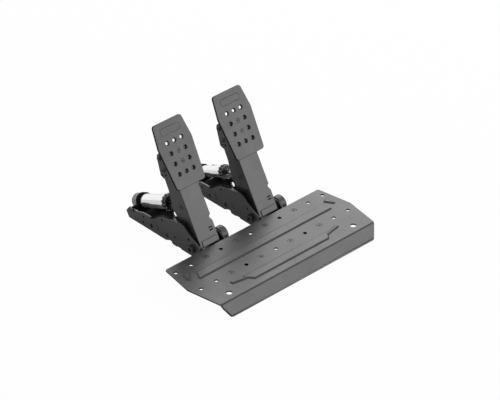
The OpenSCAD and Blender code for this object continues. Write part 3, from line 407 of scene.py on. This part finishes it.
def make_smooth_group():
    """Geometry nodes that shade faces as one surface, apart from edges sharper than a rounded one has."""
    tree, start, end = new_mesh_group("smooth_by_angle")
    faces = add_node(tree, "GeometryNodeSetShadeSmooth", {"Shade Smooth": True}, domain="FACE")
    edges = add_node(tree, "GeometryNodeSetShadeSmooth", domain="EDGE")
    angle = add_node(tree, "GeometryNodeInputMeshEdgeAngle")
    gentle = add_node(tree, "FunctionNodeCompare", {"B": SMOOTH_BELOW}, operation="LESS_THAN")
    tree.links.new(start.outputs["Geometry"], faces.inputs["Geometry"])
    tree.links.new(faces.outputs["Geometry"], edges.inputs["Geometry"])
    tree.links.new(angle.outputs["Unsigned Angle"], gentle.inputs["A"])
    tree.links.new(gentle.outputs["Result"], edges.inputs["Shade Smooth"])
    tree.links.new(edges.outputs["Geometry"], end.inputs["Geometry"])
    return tree


def make_wall_shade_group(name, front, steepest, largest):
    """Geometry nodes that give the painted shade to the small faces that don't lie along a sheet's front."""
    tree, start, end = new_mesh_group(name)
    facing = add_node(tree, "GeometryNodeInputNormal")
    along = add_node(tree, "ShaderNodeVectorMath", {1: front}, operation="DOT_PRODUCT")
    lean = add_node(tree, "ShaderNodeMath", operation="ABSOLUTE")
    square = add_node(tree, "FunctionNodeCompare", {"B": steepest}, operation="LESS_THAN")
    area = add_node(tree, "GeometryNodeInputMeshFaceArea")
    small = add_node(tree, "FunctionNodeCompare", {"B": largest}, operation="LESS_THAN")
    both = add_node(tree, "FunctionNodeBooleanMath", operation="AND")
    finish = add_node(tree, "GeometryNodeSetMaterialIndex", {"Material Index": SHADE_PLACE})
    tree.links.new(facing.outputs["Normal"], along.inputs[0])
    tree.links.new(along.outputs["Value"], lean.inputs[0])
    tree.links.new(lean.outputs["Value"], square.inputs["A"])
    tree.links.new(area.outputs["Area"], small.inputs["A"])
    tree.links.new(square.outputs["Result"], both.inputs[0])
    tree.links.new(small.outputs["Result"], both.inputs[1])
    tree.links.new(both.outputs["Boolean"], finish.inputs["Selection"])
    tree.links.new(start.outputs["Geometry"], finish.inputs["Geometry"])
    tree.links.new(finish.outputs["Geometry"], end.inputs["Geometry"])
    return tree


# Faces in a hole are smaller than this, in square metres, and a limit that takes faces of any size
HOLE_FACE = 2.0 * MM * MM
ANY_FACE = 1.0

SMOOTH = make_smooth_group()
SIDE_HOLE_SHADE = make_wall_shade_group("side_hole_shade", (1.0, 0.0, 0.0), 0.3, HOLE_FACE)
FACE_WALL_SHADE = make_wall_shade_group("face_wall_shade", FACE_FRONT, 0.3, ANY_FACE)
WALL_SHADE_GROUPS = {
    "pedal_face": FACE_WALL_SHADE,
    "face_screws": FACE_WALL_SHADE,
    "heel_plate": make_wall_shade_group("plate_hole_shade", (0.0, 0.0, 1.0), 0.8, HOLE_FACE),
    "base_channel": SIDE_HOLE_SHADE,
    "face_bracket": SIDE_HOLE_SHADE,
}
EDGE_ROUND = {
    "coated_steel": 0.3 * MM,
    "black_zinc": 0.15 * MM,
    "cap_alloy": 0.35 * MM,
    "black_alloy": 0.2 * MM,
    "chrome_tube": 0.25 * MM,
    "ground_steel": 0.2 * MM,
    "bush_polymer": 0.15 * MM,
    "sensor_plastic": 0.25 * MM,
    "piston_plastic": 0.2 * MM,
    "circuit_board": 0.1 * MM,
    "stop_rubber": 0.3 * MM,
}


def round_edges(piece, width, rubbed, walls):
    """Small rounds on the sharp edges of a solid, which catch the light."""
    joined = piece.modifiers.new("join_corners", "WELD")
    joined.merge_threshold = WELD_WITHIN
    flats = piece.modifiers.new("plain_flats", "DECIMATE")
    flats.decimate_type = "DISSOLVE"
    flats.angle_limit = FLAT_WITHIN
    # Walls of holes, sockets and rims picked by the group take the painted shade material
    if walls:
        piece.data.materials.append(HOLE_SHADE)
        dull = piece.modifiers.new("painted_wall_shade", "NODES")
        dull.node_group = walls
    rounds = piece.modifiers.new("edge_rounds", "BEVEL")
    rounds.width = width
    rounds.segments = 2
    rounds.limit_method = "ANGLE"
    rounds.angle_limit = ROUND_ABOVE
    rounds.use_clamp_overlap = False
    if rubbed:
        rounds.material = EDGE_PLACE
    smooth = piece.modifiers.new("smooth_faces", "NODES")
    smooth.node_group = SMOOTH
    normals = piece.modifiers.new("flat_normals", "WEIGHTED_NORMAL")
    normals.weight = 80
    normals.keep_sharp = True


def dress_solids():
    """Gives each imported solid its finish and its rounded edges."""
    for name, piece in nodes.items():
        slot = piece.data.materials[0].name.split(".")[0]
        kind = name.removeprefix("brake_").removeprefix("throttle_")
        edge = OWN_EDGE_HIGHLIGHTS.get(kind, EDGES.get(slot))
        piece.data.materials.clear()
        piece.data.materials.append(OWN_FINISHES.get(kind, FINISHES[slot]))
        if edge:
            piece.data.materials.append(edge)
        round_edges(piece, EDGE_ROUND[slot], bool(edge), WALL_SHADE_GROUPS.get(kind))


# Floor, world and lamps
WHITE = (1.0, 1.0, 1.0, 1.0)
FLOOR_PAINT = (0.9, 0.9, 0.9, 1.0)
FLOOR_REACH = 30.0
FLOOR_GAP = 0.2 * MM
WORLD_SHED = 0.34
LAMP_AIM = Vector((0.0, 0.0, 80.0)) * MM


def seen_directly(tree, camera, mirrored):
    """A factor for what the camera, mirrors and glass see, and 0 for the light that falls on things."""
    path = add_node(tree, "ShaderNodeLightPath")
    through = add_node(tree, "ShaderNodeMath", operation="MAXIMUM")
    both = add_node(tree, "ShaderNodeMath", {1: mirrored}, operation="MULTIPLY")
    direct = add_node(tree, "ShaderNodeMath", {1: camera}, operation="MULTIPLY")
    most = add_node(tree, "ShaderNodeMath", operation="MAXIMUM")
    tree.links.new(path.outputs["Is Glossy Ray"], through.inputs[0])
    tree.links.new(path.outputs["Is Transmission Ray"], through.inputs[1])
    tree.links.new(through.outputs["Value"], both.inputs[0])
    tree.links.new(path.outputs["Is Camera Ray"], direct.inputs[0])
    tree.links.new(direct.outputs["Value"], most.inputs[0])
    tree.links.new(both.outputs["Value"], most.inputs[1])
    return most.outputs["Value"]


def light_world():
    """A white studio to look at, which sheds a softer light."""
    world = bpy.data.worlds.new("studio")
    scene.world = world
    world.use_nodes = True
    tree = world.node_tree
    tree.nodes.clear()
    shed = add_node(tree, "ShaderNodeBackground", {"Color": WHITE, "Strength": WORLD_SHED})
    seen = add_node(tree, "ShaderNodeBackground", {"Color": WHITE, "Strength": 1.0})
    mix = add_node(tree, "ShaderNodeMixShader")
    output = add_node(tree, "ShaderNodeOutputWorld")
    tree.links.new(seen_directly(tree, camera=1.0, mirrored=1.0), mix.inputs["Fac"])
    tree.links.new(shed.outputs["Background"], mix.inputs[1])
    tree.links.new(seen.outputs["Background"], mix.inputs[2])
    tree.links.new(mix.outputs["Shader"], output.inputs["Surface"])


def lay_floor():
    """A pale floor under the set, white to the camera and with the set's soft shadow."""
    level = cad_box[0].z - FLOOR_GAP
    corners = ((-1, -1), (1, -1), (1, 1), (-1, 1))
    mesh = bpy.data.meshes.new("floor")
    mesh.from_pydata([(x * FLOOR_REACH, y * FLOOR_REACH, level) for x, y in corners], [], [(0, 1, 2, 3)])
    floor = bpy.data.objects.new("floor", mesh)
    scene.collection.objects.link(floor)
    material = bpy.data.materials.new("pale_floor")
    material.use_nodes = True
    tree = material.node_tree
    tree.nodes.clear()
    paint = add_node(tree, "ShaderNodeBsdfDiffuse", {"Color": FLOOR_PAINT})
    glow = add_node(tree, "ShaderNodeEmission", {"Color": WHITE, "Strength": 1.0})
    mix = add_node(tree, "ShaderNodeMixShader")
    output = add_node(tree, "ShaderNodeOutputMaterial")
    tree.links.new(seen_directly(tree, camera=0.975, mirrored=0.32), mix.inputs["Fac"])
    tree.links.new(paint.outputs["BSDF"], mix.inputs[1])
    tree.links.new(glow.outputs["Emission"], mix.inputs[2])
    tree.links.new(mix.outputs["Shader"], output.inputs["Surface"])
    mesh.materials.append(material)


def hang_lamp(name, way, away, width, height, glow):
    """A soft lamp in the given direction, aimed at the set, of the given brightness to look at."""
    lamp = bpy.data.lights.new(name, "AREA")
    lamp.shape = "RECTANGLE"
    lamp.size = width
    lamp.size_y = height
    lamp.energy = glow * math.pi * width * height
    holder = bpy.data.objects.new(name, lamp)
    scene.collection.objects.link(holder)
    back = Vector(way).normalized()
    holder.location = LAMP_AIM + back * away
    holder.rotation_mode = "QUATERNION"
    holder.rotation_quaternion = (-back).to_track_quat("-Z", "Y")
    holder.visible_camera = False


def light_set():
    """Plain soft studio light, brighter from the right, the front and above than from the left."""
    hang_lamp("front_right_lamp", (0.568, -0.766, 0.28), away=2.6, width=2.2, height=1.3, glow=3.8)
    hang_lamp("rear_right_lamp", (0.568, 0.606, 0.557), away=2.6, width=2.0, height=1.6, glow=3.35)


# Strut springs: the strut's foot is the point of its axis above the trunnion, in millimetres
STRUT_FOOT_Y = 156.611
STRUT_FOOT_Z = 26.921
SPRING_START = -12.45 * MM
SPRING_TURNS = 12
SPRING_CLOSE = 3.6 * MM
SPRING_STEPS = 28
WIRE_RADIUS = 1.5 * MM
WIRE_SIDES = 14


def spring_rise(turn, open_pitch):
    """Height along the spring after so many turns, with closed end turns."""
    rise = SPRING_CLOSE * min(turn, 1.0)
    rise += open_pitch * max(0.0, min(turn, SPRING_TURNS - 1.0) - 1.0)
    rise += SPRING_CLOSE * max(0.0, turn - SPRING_TURNS + 1.0)
    return rise


def wind_spring(pedal, radius, end):
    """A round-wire spring between the rear cap and the piston."""
    way = Vector(STRUT_WAY).normalized()
    across = Vector((1.0, 0.0, 0.0))
    up = way.cross(across)
    foot = Vector((PEDAL_X[pedal], STRUT_FOOT_Y, STRUT_FOOT_Z)) * MM
    open_pitch = (end - SPRING_START - 2.0 * SPRING_CLOSE) / (SPRING_TURNS - 2)
    count = SPRING_TURNS * SPRING_STEPS
    points = []
    for step in range(count + 1):
        turn = step / SPRING_STEPS
        out = across * math.cos(2.0 * math.pi * turn) + up * math.sin(2.0 * math.pi * turn)
        middle = foot + way * (SPRING_START + spring_rise(turn, open_pitch)) + out * radius
        for corner in range(WIRE_SIDES):
            angle = 2.0 * math.pi * corner / WIRE_SIDES
            points.append(middle + (out * math.cos(angle) + way * math.sin(angle)) * WIRE_RADIUS)
    faces = [tuple(range(WIRE_SIDES - 1, -1, -1))]
    faces.append(tuple(count * WIRE_SIDES + corner for corner in range(WIRE_SIDES)))
    for step in range(count):
        low = step * WIRE_SIDES
        high = low + WIRE_SIDES
        for corner in range(WIRE_SIDES):
            after = (corner + 1) % WIRE_SIDES
            faces.append((low + corner, low + after, high + after, high + corner))
    mesh = bpy.data.meshes.new(pedal + "_coil_spring")
    mesh.from_pydata(points, [], faces)
    mesh.shade_smooth()
    mesh.materials.append(FINISHES["ground_steel"])
    spring = bpy.data.objects.new(pedal + "_coil_spring", mesh)
    scene.collection.objects.link(spring)
    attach(spring, pedal + "_barrel")
    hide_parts(pedal + "_strut_spring")
    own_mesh(spring)


# Contacts in the cable sockets, in millimetres: places across from the pedal's middle, and the pins' size
CONTACT_ROW = (33.9, 35.5, 37.1)
CONTACT_HALF = 0.32
CONTACT_FOOT = 15.9
CONTACT_TIP = 20.4
CONTACT_HEIGHT = 17.6
TAPER_LENGTH = 0.5
TIP_SHARE = 0.45


def fit_contacts(pedal):
    """Square plated pins with tapered tips, in a row on the floor of the cable socket."""
    rings = ((CONTACT_FOOT, 1.0), (CONTACT_TIP - TAPER_LENGTH, 1.0), (CONTACT_TIP, TIP_SHARE))
    points = []
    faces = []
    for across in CONTACT_ROW:
        first = len(points)
        for along, share in rings:
            reach = share * CONTACT_HALF
            for x, z in ((-reach, -reach), (reach, -reach), (reach, reach), (-reach, reach)):
                points.append(Vector((PEDAL_X[pedal] + across + x, along, CONTACT_HEIGHT + z)) * MM)
        faces.append((first, first + 1, first + 2, first + 3))
        faces.append((first + 11, first + 10, first + 9, first + 8))
        for ring in (first, first + 4):
            for corner in range(4):
                after = (corner + 1) % 4
                faces.append((ring + after, ring + corner, ring + corner + 4, ring + after + 4))
    mesh = bpy.data.meshes.new(pedal + "_socket_contacts")
    mesh.from_pydata(points, [], faces)
    mesh.materials.append(FINISHES["ground_steel"])
    contacts = bpy.data.objects.new(pedal + "_socket_contacts", mesh)
    scene.collection.objects.link(contacts)
    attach(contacts, "base")


place_camera()
dress_solids()
fit_contacts("brake")
fit_contacts("throttle")
wind_spring("brake", radius=8.7 * MM, end=61.15 * MM)
wind_spring("throttle", radius=6.45 * MM, end=51.65 * MM)
light_world()
lay_floor()
light_set()
